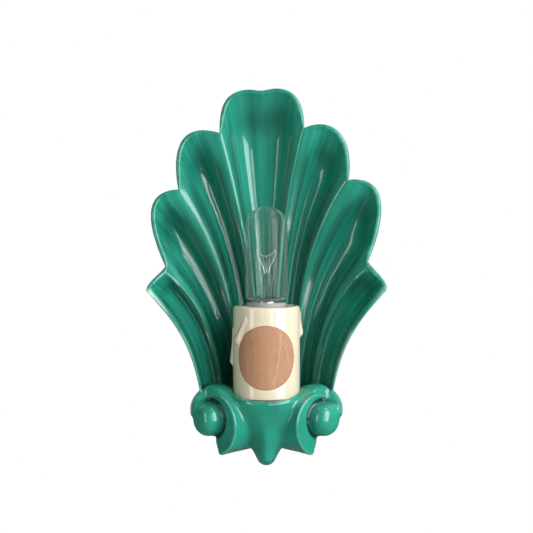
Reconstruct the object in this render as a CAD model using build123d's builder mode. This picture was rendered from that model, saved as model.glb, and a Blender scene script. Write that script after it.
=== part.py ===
from build123d import *
from math import atan2, cos, pi, radians, sin, tan
import os

# A wall sconce in glazed ceramic: a fluted shell of seven lobes over two scrolls,
# with a candle sleeve standing on a ledge and a small tubular lamp in a screw holder.
# Frame: X to the viewer's right, Y into the wall (the wall is the plane Y = 0, the
# front is -Y), Z up. The origin is the hanging hole, on the wall. Millimetres.
# Heights (h) are counted from the ledge that the candle stands on.

# ---------------------------------------------------------------- driving sizes
hanging_height = 128.0      # hanging hole above the ledge
candle_reach = 54.0         # candle axis in front of the wall

# shell: the corners where its lobes meet, as (x, height), from the left wing tip to
# the right one, and each lobe's outline as the handles at its two corners
wall = 5.0
rim_corners = [(-70.5, 64), (-61, 78), (-54, 125), (-29, 160), (23, 163), (50, 131), (61, 81), (71, 65)]
rim_leaving = [(-0.5, 5), (-7, 15), (-4, 29), (-1, 35), (18, 8), (29.5, 3), (3, -5)]
rim_arriving = [(-3, -5), (-27, -1), (-19, 6), (0.5, 34), (4, 26), (8, 17), (0.5, 5)]
top_square = 2.2            # the shoulders of the middle lobe stand out this far
foot_width = 76.0           # across the shell where it stands on the ledge
foot_sink = 3.0             # how far the shell's foot runs down into the base
rim_spread = 44.0           # lean of the outermost flutes at the rim, degrees
flute_ratio = 0.29          # depth of a flute over its width
flute_power = 2.0           # the higher, the flatter a flute's floor and the narrower the ribs
rim_flute_width = 48.0
mid_crest = 26.0            # ribs in the middle, in front of the wall
top_lean = 14.0             # how far the top lobe leans forward
foot_crest = 58.0           # outer ribs at the foot, in front of the wall
wing_crest = 62.0           # outer ribs at the wing tips, in front of the wall
lip = 3.2                   # thickness of the rolled rim
rib_turn = 0.75             # from here to the notch the rim turns into the rib, as a share
lip_land = 1.0              # flat left at the back of the rolled rim
cup_start = 0.8             # where a flute starts to curl up into its rim, as a share

# scrolls
scroll_reach = 65.5         # disc centre in front of the wall
scroll_offset = 29.2        # disc centre from the middle
scroll_drop = 14.0          # disc centre below the ledge
scroll_turn = 48.0          # the disc faces this far outwards from the front, degrees
disc_radius = 18.5
horn_radius = 14.0          # waist of the roll behind the disc
knob_radius = 9.8
knob_out = 2.0              # the knob stands outwards and up from the disc's centre
knob_rise = 2.4
knob_reach = 7.5
groove_width = 2.2
groove_depth = 3.0
groove_start = 60.0         # the groove starts this far over the knob's outer side, degrees
groove_turn = 225.0         # and runs this far round it, to the opening
disc_edge = 1.2             # flat edge of the disc
disc_slope = 1.0            # slope from that edge down to the band
band_sink = 0.9             # the flat band of the disc lies behind its edge
cut_over = 1.0              # cuts start this far outside what they cut
# the roll is open under the knob, on its outer side: (outwards, up) from the disc's centre
open_corner = (-1.0, -11.0)
open_end = (-5.5, -18.8)
open_side = -2.0
open_depth = 12.0
# a rounded flank runs from the shell's foot into the knob, out and up from the disc's centre
flank_radius = 16.5
flank_out = 5.0
flank_rise = 4.0
flank_back = 9.0            # its centre lies behind the disc's face
flank_end = (6.0, 16.0)     # the disc's band and groove run out here, over the knob

# base
floor_thickness = 7.0
apron_drop = 38.5           # finial tip below the ledge
collar_wall = 2.4
collar_front = 0.3          # the ledge stands this high in front of the candle
collar_rise = 4.5           # the ledge climbs this much at the candle's sides
block_half_top = 35.0       # body behind the scrolls, half width at the ledge
block_half_foot = 20.0
block_drop = 29.0
block_depth = 50.0
chamber_half = 22.0
chamber_drop = 25.5
chamber_depth = 42.0
chamber_well = 11.0         # radius of the chamber under the candle

# hanging boss
boss_radius = 10.0
boss_depth = 16.0
hanging_hole_radius = 4.25
hanging_hole_depth = 9.0

# candle sleeve and label
candle_radius = 20.0
candle_height = 55.0
candle_bore = 15.5
candle_fit = 0.4            # radial room in the ledge's recess
candle_edge = 1.8
label_radius = 18.5
label_thickness = 0.25
label_height = 25.5         # label centre above the ledge
glue_gap = 0.02
drip_radius = 2.8
# drips of wax: angle from the front (to the right is positive), top below the candle's top, length
drips = [(-56, 9, 10), (-88, 14, 18), (88, 5, 10), (-150, 10, 20), (140, 9, 24)]
drip_sink = 1.2             # the drip's axis lies this far inside the sleeve's face

# lamp
glass_radius = 12.5
glass_wall = 0.8
bulb_length = 85.0
glass_length = 57.0         # from the shoulder to the crown
neck_radius = 5.9
neck_length = 6.5
shoulder_height = 3.2
cap_radius = 6.9
cap_wall = 0.4
cap_lip = 2.2               # width of the cap's turned-in foot
turning_fit = 0.05
tip_height = 1.5
tip_radius = 2.4
insulator_height = 3.2
stem_radius = 3.0
stem_wall = 0.7
stem_rise = 17.0            # top of the stem above the shoulder
pinch_height = 6.0
lead_radius = 0.3
filament_radius = 0.25
filament_half = 6.4
filament_rise = 31.0        # filament ends above the shoulder
filament_sag = 3.6
support_radius = 0.2
support_spread = 0.4        # the outer supports meet the filament at this share of its half

# holder
holder_proud = 1.5          # holder top above the candle's top
bulb_gap = 0.6              # glass shoulder above the holder
cap_fit = 0.15
thread_shell_wall = 0.6
insert_fit = 0.1
insert_wall = 2.2
skirt_fit = 0.15
skirt_wall = 1.5
insert_bottom = 20.0
contact_thickness = 0.8
contact_radius = 4.5
lip_room = 0.4              # the skirt's top stands this far outside the screw shell
contact_gap = 0.3
holder_base_height = 10.5
holder_flange = 2.5
post_size = 4.6
post_height = 6.0
post_offset = 5.2
post_fit = 0.1
screw_radius = 1.5
screw_head_radius = 2.2
screw_head_height = 1.2
screw_slot = 0.8

# fixing: a threaded tube through the ledge, with its washers and nut
nipple_radius = 5.0
nipple_bore = 3.7
nipple_fit = 0.25
thread_fit = 0.05
nipple_in_holder = 7.5
nipple_below_nut = 2.0
seat_washer_radius = 11.5
seat_washer_thickness = 1.5
lower_washer_radius = 9.0
lower_washer_thickness = 1.0
nut_across_flats = 14.0
nut_thickness = 3.0

# wires and terminal block
wire_radius = 1.1
wire_offset = 1.7           # from the middle, inside the threaded tube
wire_bend = 6.0
wire_in_post = 4.0
wire_in_block = 6.0
block_pitch = 8.2
block_body_half = 8.3
block_body_length = 17.0
block_body_height = 11.0
block_back_gap = 4.0        # between the wall and the block
block_tube_radius = 2.2
block_tube_bore = 1.35
block_tube_inset = 1.0
block_corner = 1.5
block_screw_radius = 1.2
block_screw_room = 0.3
block_screw_spacing = 9.5

# ---------------------------------------------------------------- places worked out
lobes = len(rim_leaving)
ledge_z = -hanging_height
candle_y = -candle_reach
candle_axis = Axis((0, candle_y, ledge_z), (0, 0, 1))
# drawing plane through the candle's axis: local x is the radius, local y the height
candle_side = Plane(origin=(0, candle_y, ledge_z), x_dir=(1, 0, 0), z_dir=(0, -1, 0))
candle_floor = Plane(origin=(0, candle_y, ledge_z))
wall_plane = Plane(origin=(0, 0, ledge_z), x_dir=(1, 0, 0), z_dir=(0, -1, 0))

holder_top = candle_height + holder_proud
shoulder = holder_top + bulb_gap
crown = shoulder + glass_length
tip_bottom = crown - bulb_length
cap_bottom = tip_bottom + tip_height + insulator_height
thread_shell_inner = cap_radius + cap_fit
thread_shell_outer = thread_shell_inner + thread_shell_wall
insert_inner = thread_shell_outer + insert_fit
insert_outer = insert_inner + insert_wall
skirt_inner = insert_outer + skirt_fit
skirt_outer = skirt_inner + skirt_wall
contact_bottom = tip_bottom - contact_gap - contact_thickness
lower_washer_bottom = -floor_thickness - lower_washer_thickness
nut_bottom = lower_washer_bottom - nut_thickness
nipple_bottom = nut_bottom - nipple_below_nut
nipple_top = seat_washer_thickness + nipple_in_holder
wire_run = nipple_bottom - 1 - wire_bend
chamber_floor = min(-chamber_drop, wire_run - block_body_height / 2)

os.makedirs("parts", exist_ok=True)


def keep(piece, name):
    """Label a finished piece and write it under its own name."""
    piece.part.label = name
    export_step(piece.part, f"parts/{name}.step")


def turned(outline):
    """A piece turned about the candle's axis from a loop of (radius, height) points."""
    with BuildPart() as piece:
        with BuildSketch(candle_side):
            with BuildLine():
                Polyline(*outline, close=True)
            make_face()
        revolve(axis=candle_axis)
    return piece


def ring(inner, outer, bottom, top):
    """A plain tube or washer about the candle's axis."""
    return turned([(inner, bottom), (outer, bottom), (outer, top), (inner, top)])


# ---------------------------------------------------------------- shell surface
def lean(u):
    """Angle from upright at which a flute line reaches the rim; u runs from -1 to 1."""
    side = 1 if u > 0 else -1
    return radians(rim_spread) * (1 - (1 - abs(u)) ** 2.5) * side


def rim(lobe, v):
    """Front view of a lobe's edge: the point at v (-1 to 1) and the direction outwards."""
    s = (v + 1) / 2
    start, end = Vector(*rim_corners[lobe]), Vector(*rim_corners[lobe + 1])
    first, second = start + Vector(*rim_leaving[lobe]), end + Vector(*rim_arriving[lobe])
    point = start * (1 - s) ** 3 + first * (3 * s * (1 - s) ** 2) + second * (3 * s * s * (1 - s)) + end * s**3
    if lobe == lobes // 2:
        point -= Vector(top_square * sin(2 * pi * s), 0)
    run = (first - start) * (1 - s) ** 2 + (second - first) * (2 * s * (1 - s)) + (end - second) * s**2
    heading = atan2(run.X, -run.Y)
    if abs(v) > rib_turn:
        # towards the notch the direction swings round to the line of the rib
        share = (abs(v) - rib_turn) / (1 - rib_turn)
        u = -1 + (2 * lobe + 1 + v) / lobes
        swing = (pi / 2 - lean(u) - heading + pi) % (2 * pi) - pi
        heading += swing * share
    return point, Vector(cos(heading), sin(heading))


def crest(u, t):
    """How far in front of the wall the ribs lie; t runs from the foot (0) to the rim (1)."""
    middle = mid_crest + top_lean * max(0, (t - 0.45) / 0.55) ** 2
    side = foot_crest + (wing_crest - foot_crest) * t
    return middle + (side - middle) * abs(u) ** 2.4


def surface(lobe, v, t, inset, behind):
    """A point of the fluted surface, ending `inset` inside the rim, `behind` the front face."""
    u = -1 + (2 * lobe + 1 + v) / lobes
    edge, out = rim(lobe, v)
    end = edge - out * inset
    foot = Vector(foot_width / 2 * u, -foot_sink)
    reach = (end - foot).length
    first = foot + Vector(0.05 * u, 0.42) * reach
    second = end - Vector(sin(lean(u)), cos(lean(u))) * (0.36 * reach)
    s = 1 - t
    place = foot * s**3 + first * (3 * s * s * t) + second * (3 * s * t * t) + end * t**3
    width = foot_width / lobes * s + rim_flute_width * t
    hollow = 0.5 * (1 + cos(pi * abs(v) ** flute_power)) * flute_ratio * width
    late = max(0, (t - cup_start) / (1 - cup_start))
    depth = hollow * (1 - late**2.4) + behind * (1 - late**3)
    return Vector(place.X, depth - crest(u, t), ledge_z + place.Y)


stations = [cup_start * i / 10 for i in range(10)]
stations += [cup_start + (1 - cup_start) * sin(pi / 2 * i / 5) for i in range(6)]
roll_steps = 5
lobe_stations = [-1, -0.84, -0.66, -0.48, -0.28, -0.09, 0.09, 0.28, 0.48, 0.66, 0.84, 1]


def front_line(lobe, v):
    """Up the front of the shell and over its rolled rim."""
    edge, out = rim(lobe, v)
    line = [surface(lobe, v, t, lip, 0) for t in stations]
    inner = edge - out * lip
    forward = -crest(-1 + (2 * lobe + 1 + v) / lobes, 1)
    for step in range(1, roll_steps + 1):
        angle = pi * step / roll_steps
        place = inner + out * (lip / 2 * (1 - cos(angle)))
        line.append(Vector(place.X, forward - lip / 2 * sin(angle), ledge_z + place.Y))
    return line


def back_line(lobe, v):
    """Up the back of the shell, to the land behind the rolled rim."""
    line = [surface(lobe, v, t, 0, 1.2 * wall) for t in stations]
    line[-1] = line[-1] + Vector(0, lip_land, 0)
    return line


def even_spline(points):
    """A curve through the points with even parameters, so that neighbours match."""
    return Edge.make_spline(points, parameters=[i / (len(points) - 1) for i in range(len(points))])


def edge_between(face, start, end):
    """The edge of a face that runs between two corners."""
    middle = (start + end) / 2
    ends = [
        edge
        for edge in face.edges()
        if min((edge @ 0 - start).length, (edge @ 1 - start).length) < 0.01
        and min((edge @ 0 - end).length, (edge @ 1 - end).length) < 0.01
    ]
    return min(ends, key=lambda edge: (edge @ 0.5 - middle).length)


def shell_faces():
    """Front and back skins lobe by lobe, with the strips that close rim, foot and sides."""
    faces = []
    for lobe in range(lobes):
        fronts = [front_line(lobe, v) for v in lobe_stations]
        backs = [back_line(lobe, v) for v in lobe_stations]
        front = Shell.make_loft([Wire([even_spline(line)]) for line in fronts]).face()
        back = Shell.make_loft([Wire([even_spline(line)]) for line in backs]).face()
        faces += [front, back]
        for end in (0, -1):
            front_edge = edge_between(front, fronts[0][end], fronts[-1][end])
            back_edge = edge_between(back, backs[0][end], backs[-1][end])
            faces.append(Face.make_surface_from_curves(front_edge, back_edge))
        if lobe in (0, lobes - 1):
            side = 0 if lobe == 0 else -1
            front_edge = edge_between(front, fronts[side][0], fronts[side][-1])
            back_edge = edge_between(back, backs[side][0], backs[side][-1])
            faces.append(Face.make_surface_from_curves(front_edge, back_edge))
    return faces


# ---------------------------------------------------------------- ceramic body
turn = radians(scroll_turn)
horn_length = scroll_offset / sin(turn)
band_radius = disc_radius - disc_edge - disc_slope
knob_root = open_depth + cut_over    # the knob runs back through the opening into the roll
collar_outer = candle_radius + candle_fit + collar_wall
climb =collar_rise * (collar_outer / candle_radius) ** 2

# the ledge is a saddle about the candle, low in front and climbing at its sides
with BuildPart() as saddle:
    with BuildSketch(candle_side):
        with BuildLine():
            ThreePointArc((-collar_outer, climb), (0, collar_front), (collar_outer, climb))
            Polyline(
                (collar_outer, climb),
                (collar_outer, -floor_thickness),
                (-collar_outer, -floor_thickness),
                (-collar_outer, climb),
            )
        make_face()
    extrude(amount=collar_outer, both=True)
    with BuildSketch(candle_floor.offset(-floor_thickness)):
        Circle(collar_outer)
    extrude(amount=floor_thickness + climb, mode=Mode.INTERSECT)

with BuildPart() as shell_body:
    add(Solid(Shell(shell_faces())))

    # body behind the scrolls, back to the wall
    with BuildSketch(wall_plane):
        with BuildLine():
            Polyline(
                (-block_half_top, 0),
                (-block_half_top, -scroll_drop),
                (-block_half_foot, -block_drop),
                (block_half_foot, -block_drop),
                (block_half_top, -scroll_drop),
                (block_half_top, 0),
                close=True,
            )
        make_face()
    extrude(amount=block_depth)

    # apron: turned about the candle's axis, down to the finial
    with BuildSketch(candle_side):
        with BuildLine():
            Line((0, 0), (collar_outer, 0))
            Spline(
                (collar_outer, 0),
                (0.94 * collar_outer, -0.16 * apron_drop),
                (0.78 * collar_outer, -0.38 * apron_drop),
                (0.58 * collar_outer, -0.62 * apron_drop),
                (0.40 * collar_outer, -0.82 * apron_drop),
                (0.18 * collar_outer, -0.95 * apron_drop),
                (0, -apron_drop),
            )
            Line((0, -apron_drop), (0, 0))
        make_face()
    revolve(axis=candle_axis)

    # scrolls: a flaring roll from the middle out to each disc, and the knob on it
    for side in (-1, 1):
        outward = Vector(side * sin(turn), -cos(turn), 0)
        centre = Vector(side * scroll_offset, -scroll_reach, ledge_z - scroll_drop)
        roll_side = Plane(origin=centre, x_dir=outward, z_dir=outward.cross(Vector(0, 0, 1)))
        with BuildSketch(roll_side):
            with BuildLine():
                Line((-horn_length, 0), (-horn_length, horn_radius))
                Spline(
                    (-horn_length, horn_radius),
                    (-0.5 * horn_length, 1.1 * horn_radius),
                    (-0.2 * horn_length, 0.5 * horn_radius + 0.4 * disc_radius),
                    (-0.05 * horn_length, 0.93 * disc_radius),
                    (0, disc_radius),
                )
                Line((0, disc_radius), (0, band_radius + disc_slope))
                Line((0, band_radius + disc_slope), (-band_sink, band_radius))
                Line((-band_sink, band_radius), (-band_sink, 0))
                Line((-band_sink, 0), (-horn_length, 0))
            make_face()
        revolve(axis=Axis(centre, outward))
        across = Vector(side * cos(turn), sin(turn), 0)
        upwards = Vector(0, 0, 1)
        with Locations(centre + across * flank_out + upwards * flank_rise - outward * flank_back):
            Sphere(flank_radius)
        beyond = disc_radius + cut_over
        face = Plane(origin=centre, x_dir=across, z_dir=outward)
        with BuildSketch(face.offset(knob_reach + cut_over)):
            with BuildLine():
                Polyline(
                    (0, 0),
                    (open_corner[0], side * open_corner[1]),
                    (open_end[0], side * open_end[1]),
                    (open_end[0], -side * beyond),
                    (beyond, -side * beyond),
                    (beyond, side * open_side),
                    close=True,
                )
            make_face()
        extrude(amount=-open_depth - knob_reach - cut_over, mode=Mode.SUBTRACT)
        with BuildSketch(face.offset(-band_sink)):
            with BuildLine():
                Polyline(
                    (knob_out, side * knob_rise),
                    (flank_end[0], side * flank_end[1]),
                    (flank_end[0], side * beyond),
                    (-beyond, side * beyond),
                    (-beyond, -side * beyond),
                    (open_end[0], -side * beyond),
                    (open_corner[0], side * open_corner[1]),
                    close=True,
                )
            make_face()
            Circle(band_radius, mode=Mode.INTERSECT)
        extrude(amount=knob_reach + cut_over, mode=Mode.SUBTRACT)
        knob_centre = centre + across * knob_out + upwards * knob_rise
        knob_side = Plane(origin=knob_centre, x_dir=outward, z_dir=roll_side.z_dir)
        start = across * cos(radians(groove_start)) + upwards * sin(radians(groove_start))
        with BuildSketch(Plane(origin=knob_centre, x_dir=outward, z_dir=outward.cross(start))):
            with BuildLine():
                Polyline(
                    (-groove_depth, knob_radius),
                    (0, knob_radius),
                    (0, knob_radius + groove_width),
                    (-groove_depth, knob_radius + 0.6 * groove_width),
                    close=True,
                )
            make_face()
        groove_axis = Axis(knob_centre, outward * side)
        revolve(axis=groove_axis, revolution_arc=groove_turn, mode=Mode.SUBTRACT)
        with BuildSketch(knob_side):
            with BuildLine():
                Line((-knob_root, 0), (-knob_root, knob_radius))
                Line((-knob_root, knob_radius), (0.45 * knob_reach, knob_radius))
                Spline(
                    (0.45 * knob_reach, knob_radius),
                    (0.85 * knob_reach, 0.72 * knob_radius),
                    (knob_reach, 0),
                    tangents=[(1, 0), (0, -1)],
                )
                Line((knob_reach, 0), (-knob_root, 0))
            make_face()
        revolve(axis=Axis(knob_centre, outward))

    # ledge about the candle, and the recess that the candle stands in
    add(saddle.part)
    with BuildSketch(candle_floor):
        Circle(candle_radius + candle_fit)
    extrude(amount=climb + cut_over, mode=Mode.SUBTRACT)

    # wiring chamber, open to the wall, and the well under the candle
    with BuildSketch(wall_plane):
        with Locations((0, (chamber_floor - floor_thickness) / 2)):
            Rectangle(2 * chamber_half, -floor_thickness - chamber_floor)
    extrude(amount=chamber_depth, mode=Mode.SUBTRACT)
    with BuildSketch(wall_plane):
        with Locations((0, (chamber_floor - floor_thickness) / 2)):
            Rectangle(2 * chamber_well, -floor_thickness - chamber_floor)
    extrude(amount=candle_reach, mode=Mode.SUBTRACT)
    with BuildSketch(candle_floor.offset(chamber_floor)):
        Circle(chamber_well)
    extrude(amount=-floor_thickness - chamber_floor, mode=Mode.SUBTRACT)
    with BuildSketch(candle_floor.offset(-floor_thickness)):
        Circle(nipple_radius + nipple_fit)
    extrude(amount=floor_thickness, mode=Mode.SUBTRACT)

    # boss behind the top flute, with the blind hanging hole
    with BuildSketch(Plane.XZ):
        Circle(boss_radius)
    extrude(amount=boss_depth)
    with BuildSketch(Plane.XZ):
        Circle(hanging_hole_radius)
    extrude(amount=hanging_hole_depth, mode=Mode.SUBTRACT)
keep(shell_body, "shell_body")

# ---------------------------------------------------------------- candle sleeve and label
with BuildPart() as candle_sleeve:
    with BuildSketch(candle_side):
        with Locations((candle_radius / 2, candle_height / 2)):
            Rectangle(candle_radius, candle_height)
        outer_top = vertices().group_by(Axis.Y)[-1].sort_by(Axis.X)[-1]
        fillet(outer_top, radius=candle_edge)
    revolve(axis=candle_axis)
    for angle, below, length in drips:
        away = Vector(sin(radians(angle)), -cos(radians(angle)), 0) * (candle_radius - drip_sink)
        middle = Vector(0, candle_y, ledge_z + candle_height - below - length / 2) + away
        with Locations(middle):
            Cylinder(drip_radius, length)
        with Locations(middle + Vector(0, 0, length / 2), middle - Vector(0, 0, length / 2)):
            Sphere(drip_radius)
    with BuildSketch(candle_floor):
        Circle(candle_bore)
    extrude(amount=candle_height, mode=Mode.SUBTRACT)
    fillet(candle_sleeve.faces().sort_by(Axis.Z)[-1].edges().sort_by(SortBy.RADIUS)[0], radius=candle_edge)
keep(candle_sleeve, "candle_sleeve")

label_inner = candle_radius + glue_gap
with BuildPart() as paper_label:
    with BuildSketch(Plane(candle_side.origin + Vector(0, 0, label_height), (1, 0, 0), (0, -1, 0))):
        Ellipse(candle_radius * sin(label_radius / candle_radius), label_radius)
    extrude(amount=label_inner + label_thickness)
    with BuildSketch(candle_floor):
        Circle(label_inner + label_thickness)
        Circle(label_inner, mode=Mode.SUBTRACT)
    extrude(amount=candle_height, mode=Mode.INTERSECT)
keep(paper_label, "paper_label")


# ---------------------------------------------------------------- lamp
def wire(points, radius, bends):
    """A round wire along straight runs joined by arcs; also says if its volume is right."""
    with BuildPart() as piece:
        with BuildLine() as path:
            if bends:
                FilletPolyline(*points, radius=bends)
            else:
                Line(*points)
        with BuildSketch(Plane(path.line @ 0, z_dir=path.line % 0)):
            Circle(radius)
        sweep()
    length = path.wires()[0].length
    share = piece.part.volume / (pi * radius**2 * length)
    print(f"wire of {length:.1f} mm, volume over section times length {share:.4f}")
    return piece


def on_lamp(x, h):
    """A point in the upright plane through the candle's axis."""
    return Vector(x, candle_y, ledge_z + h)


neck_bottom = shoulder - neck_length
with BuildPart() as bulb_glass:
    with BuildSketch(candle_side):
        with BuildLine():
            for skin in (0, glass_wall):
                wide, narrow = glass_radius - skin, neck_radius - skin
                Line((narrow, neck_bottom), (narrow, shoulder + skin))
                Spline(
                    (narrow, shoulder + skin),
                    (wide, shoulder + shoulder_height),
                    tangents=[(1, 0.05), (0, 1)],
                )
                Line((wide, shoulder + shoulder_height), (wide, crown - glass_radius))
                CenterArc((0, crown - glass_radius), wide, 0, 90)
            Line((neck_radius - glass_wall, neck_bottom), (neck_radius, neck_bottom))
            Line((0, crown - glass_wall), (0, crown))
        make_face()
    revolve(axis=candle_axis)
keep(bulb_glass, "bulb_glass")

stem_top = shoulder + stem_rise
flare = neck_radius - glass_wall - glue_gap
stem_bore = stem_radius - stem_wall
bulb_stem = turned([
    (flare - stem_wall, neck_bottom),
    (flare, neck_bottom),
    (flare, neck_bottom + stem_wall),
    (stem_radius, neck_bottom + flare - stem_bore),
    (stem_radius, stem_top - stem_wall),
    (stem_bore, stem_top),
    (0, stem_top),
    (0, stem_top - pinch_height),
    (stem_bore, stem_top - pinch_height - stem_bore),
    (stem_bore, neck_bottom + flare - stem_bore),
])
keep(bulb_stem, "bulb_stem")

lip_radius = cap_radius - cap_lip
bulb_cap = turned([
    (cap_radius - cap_wall, shoulder),
    (cap_radius, shoulder),
    (cap_radius, cap_bottom + cap_lip / 2),
    (lip_radius + cap_wall, cap_bottom),
    (lip_radius, cap_bottom),
    (lip_radius, cap_bottom + cap_wall),
    (cap_radius - cap_wall, cap_bottom + cap_lip / 2 + cap_wall),
])
keep(bulb_cap, "bulb_cap")

insulator_bottom = tip_bottom + tip_height
bulb_insulator = turned([
    (0, insulator_bottom),
    (tip_radius + 1, insulator_bottom),
    (lip_radius - turning_fit, cap_bottom - cap_wall),
    (lip_radius - turning_fit, cap_bottom + cap_wall),
    (0, cap_bottom + cap_wall),
])
keep(bulb_insulator, "bulb_insulator")

bulb_tip_contact = turned([
    (0, tip_bottom),
    (0.6 * tip_radius, tip_bottom),
    (tip_radius, tip_bottom + tip_height / 2),
    (tip_radius, insulator_bottom),
    (0, insulator_bottom),
])
keep(bulb_tip_contact, "bulb_tip_contact")

filament_top = shoulder + filament_rise
with BuildPart() as bulb_lead_wires:
    for side in (-1, 1):
        lead = wire(
            [
                on_lamp(side * 0.4 * stem_radius, stem_top),
                on_lamp(side * 0.4 * stem_radius, stem_top + 2),
                on_lamp(side * filament_half, filament_top - 4),
                on_lamp(side * filament_half, filament_top),
            ],
            lead_radius,
            1.5,
        )
        add(lead.part)
keep(bulb_lead_wires, "bulb_lead_wires")

filament_end = filament_half - lead_radius - glue_gap
bulb_filament = wire(
    [
        on_lamp(-filament_end, filament_top - filament_radius),
        on_lamp(0, filament_top - filament_radius - filament_sag),
        on_lamp(filament_end, filament_top - filament_radius),
    ],
    filament_radius,
    1.0,
)
keep(bulb_filament, "bulb_filament")

with BuildPart() as filament_supports:
    for share in (-support_spread, 0, support_spread):
        drop = filament_sag * (1 - abs(share)) + 2.4 * filament_radius
        height = filament_top - filament_radius - drop
        support = wire([on_lamp(0, stem_top), on_lamp(share * filament_end, height)], support_radius, None)
        add(support.part)
keep(filament_supports, "filament_supports")

# ---------------------------------------------------------------- screw holder
base_bottom = seat_washer_thickness
base_top = base_bottom + holder_base_height
skirt_bottom = base_bottom + holder_flange
skirt_lip = thread_shell_inner + lip_room
insert_top = holder_top - skirt_wall - skirt_fit
thread_bore = nipple_radius + thread_fit

holder_base = turned([
    (thread_bore, base_bottom),
    (skirt_outer, base_bottom),
    (skirt_outer, skirt_bottom),
    (skirt_inner - skirt_fit, skirt_bottom),
    (skirt_inner - skirt_fit, base_top),
    (thread_bore, base_top),
])
keep(holder_base, "holder_base")

holder_skirt = turned([
    (skirt_inner, skirt_bottom),
    (skirt_outer, skirt_bottom),
    (skirt_outer, holder_top),
    (skirt_lip, holder_top),
    (skirt_lip, holder_top - skirt_wall),
    (skirt_inner, holder_top - skirt_wall),
])
keep(holder_skirt, "holder_skirt")

with BuildPart() as holder_insert:
    add(
        turned([
            (0, insert_bottom),
            (insert_outer, insert_bottom),
            (insert_outer, insert_top),
            (insert_inner, insert_top),
            (insert_inner, contact_bottom),
            (0, contact_bottom),
        ]).part
    )
    for side in (-1, 1):
        pocket_inner = post_offset - post_size / 2 - post_fit
        with BuildSketch(candle_floor.offset(insert_bottom)):
            with Locations((side * (pocket_inner + insert_outer) / 2, 0)):
                Rectangle(insert_outer - pocket_inner + post_fit, post_size + 2 * post_fit)
        extrude(amount=post_height + post_fit, mode=Mode.SUBTRACT)
keep(holder_insert, "holder_insert")

holder_thread_shell = ring(
    thread_shell_inner,
    thread_shell_outer,
    contact_bottom + contact_thickness + insert_fit,
    insert_top,
)
keep(holder_thread_shell, "holder_thread_shell")

centre_contact = ring(0, contact_radius, contact_bottom, contact_bottom + contact_thickness)
keep(centre_contact, "centre_contact")

screw_height = insert_bottom + post_height / 2
with BuildPart() as terminal_posts:
    for side in (-1, 1):
        with BuildSketch(candle_floor.offset(insert_bottom)):
            with Locations((side * post_offset, 0)):
                Rectangle(post_size, post_size)
                Circle(wire_radius + post_fit, mode=Mode.SUBTRACT)
        extrude(amount=post_height)
        face = Plane(on_lamp(side * (post_offset + post_size / 2), screw_height), z_dir=(side, 0, 0))
        with BuildSketch(face):
            Circle(screw_radius + thread_fit)
        extrude(amount=-post_size / 2, mode=Mode.SUBTRACT)
keep(terminal_posts, "terminal_posts")

with BuildPart() as terminal_screws:
    for side in (-1, 1):
        face = Plane(on_lamp(side * (post_offset + post_size / 2), screw_height), z_dir=(side, 0, 0))
        with BuildSketch(face):
            Circle(screw_radius)
        extrude(amount=-(post_size / 2 - wire_radius - post_fit))
        with BuildSketch(face):
            Circle(screw_head_radius)
            Rectangle(screw_slot, 2 * screw_head_radius, mode=Mode.SUBTRACT)
        extrude(amount=screw_head_height)
        with BuildSketch(face):
            Circle(screw_head_radius)
        extrude(amount=screw_head_height / 2)
keep(terminal_screws, "terminal_screws")

# ---------------------------------------------------------------- fixing through the ledge
threaded_nipple = ring(nipple_bore, nipple_radius, nipple_bottom, nipple_top)
keep(threaded_nipple, "threaded_nipple")

seat_washer = ring(thread_bore, seat_washer_radius, 0, seat_washer_thickness)
keep(seat_washer, "seat_washer")

lower_washer = ring(thread_bore, lower_washer_radius, lower_washer_bottom, -floor_thickness)
keep(lower_washer, "lower_washer")

with BuildPart() as lock_nut:
    with BuildSketch(candle_floor.offset(nut_bottom)):
        RegularPolygon(nut_across_flats / 2, 6, major_radius=False)
        Circle(thread_bore, mode=Mode.SUBTRACT)
    extrude(amount=nut_thickness)
keep(lock_nut, "lock_nut")

# ---------------------------------------------------------------- terminal block and wires
block_front = -block_back_gap - block_body_length
block_middle = Vector(0, block_front + block_body_length / 2, ledge_z + wire_run)
block_face = Plane(block_middle, x_dir=(1, 0, 0), z_dir=(0, -1, 0))
block_top = Plane(block_middle + Vector(0, 0, block_body_height / 2))
pitch_sides = (-block_pitch / 2, block_pitch / 2)

with BuildPart() as terminal_block:
    with BuildSketch(block_face):
        RectangleRounded(2 * block_body_half, block_body_height, block_corner)
    extrude(amount=block_body_length / 2, both=True)
    with BuildSketch(block_face):
        with Locations(*[(x, 0) for x in pitch_sides]):
            Circle(block_tube_radius + thread_fit)
    extrude(amount=block_body_length / 2, both=True, mode=Mode.SUBTRACT)
    with BuildSketch(block_top):
        with GridLocations(block_pitch, block_screw_spacing, 2, 2):
            Circle(block_screw_radius + block_screw_room)
    extrude(amount=-block_body_height / 2, mode=Mode.SUBTRACT)
    with BuildSketch(block_top):
        Circle(block_screw_radius)
    extrude(amount=-block_body_height, mode=Mode.SUBTRACT)
keep(terminal_block, "terminal_block")

with BuildPart() as block_tubes:
    with BuildSketch(block_face):
        with Locations(*[(x, 0) for x in pitch_sides]):
            Circle(block_tube_radius)
            Circle(block_tube_bore, mode=Mode.SUBTRACT)
    extrude(amount=block_body_length / 2 - block_tube_inset, both=True)
    with BuildSketch(Plane(block_middle)):
        with GridLocations(block_pitch, block_screw_spacing, 2, 2):
            Circle(block_screw_radius + thread_fit)
    extrude(amount=block_tube_radius, mode=Mode.SUBTRACT)
keep(block_tubes, "block_tubes")

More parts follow.
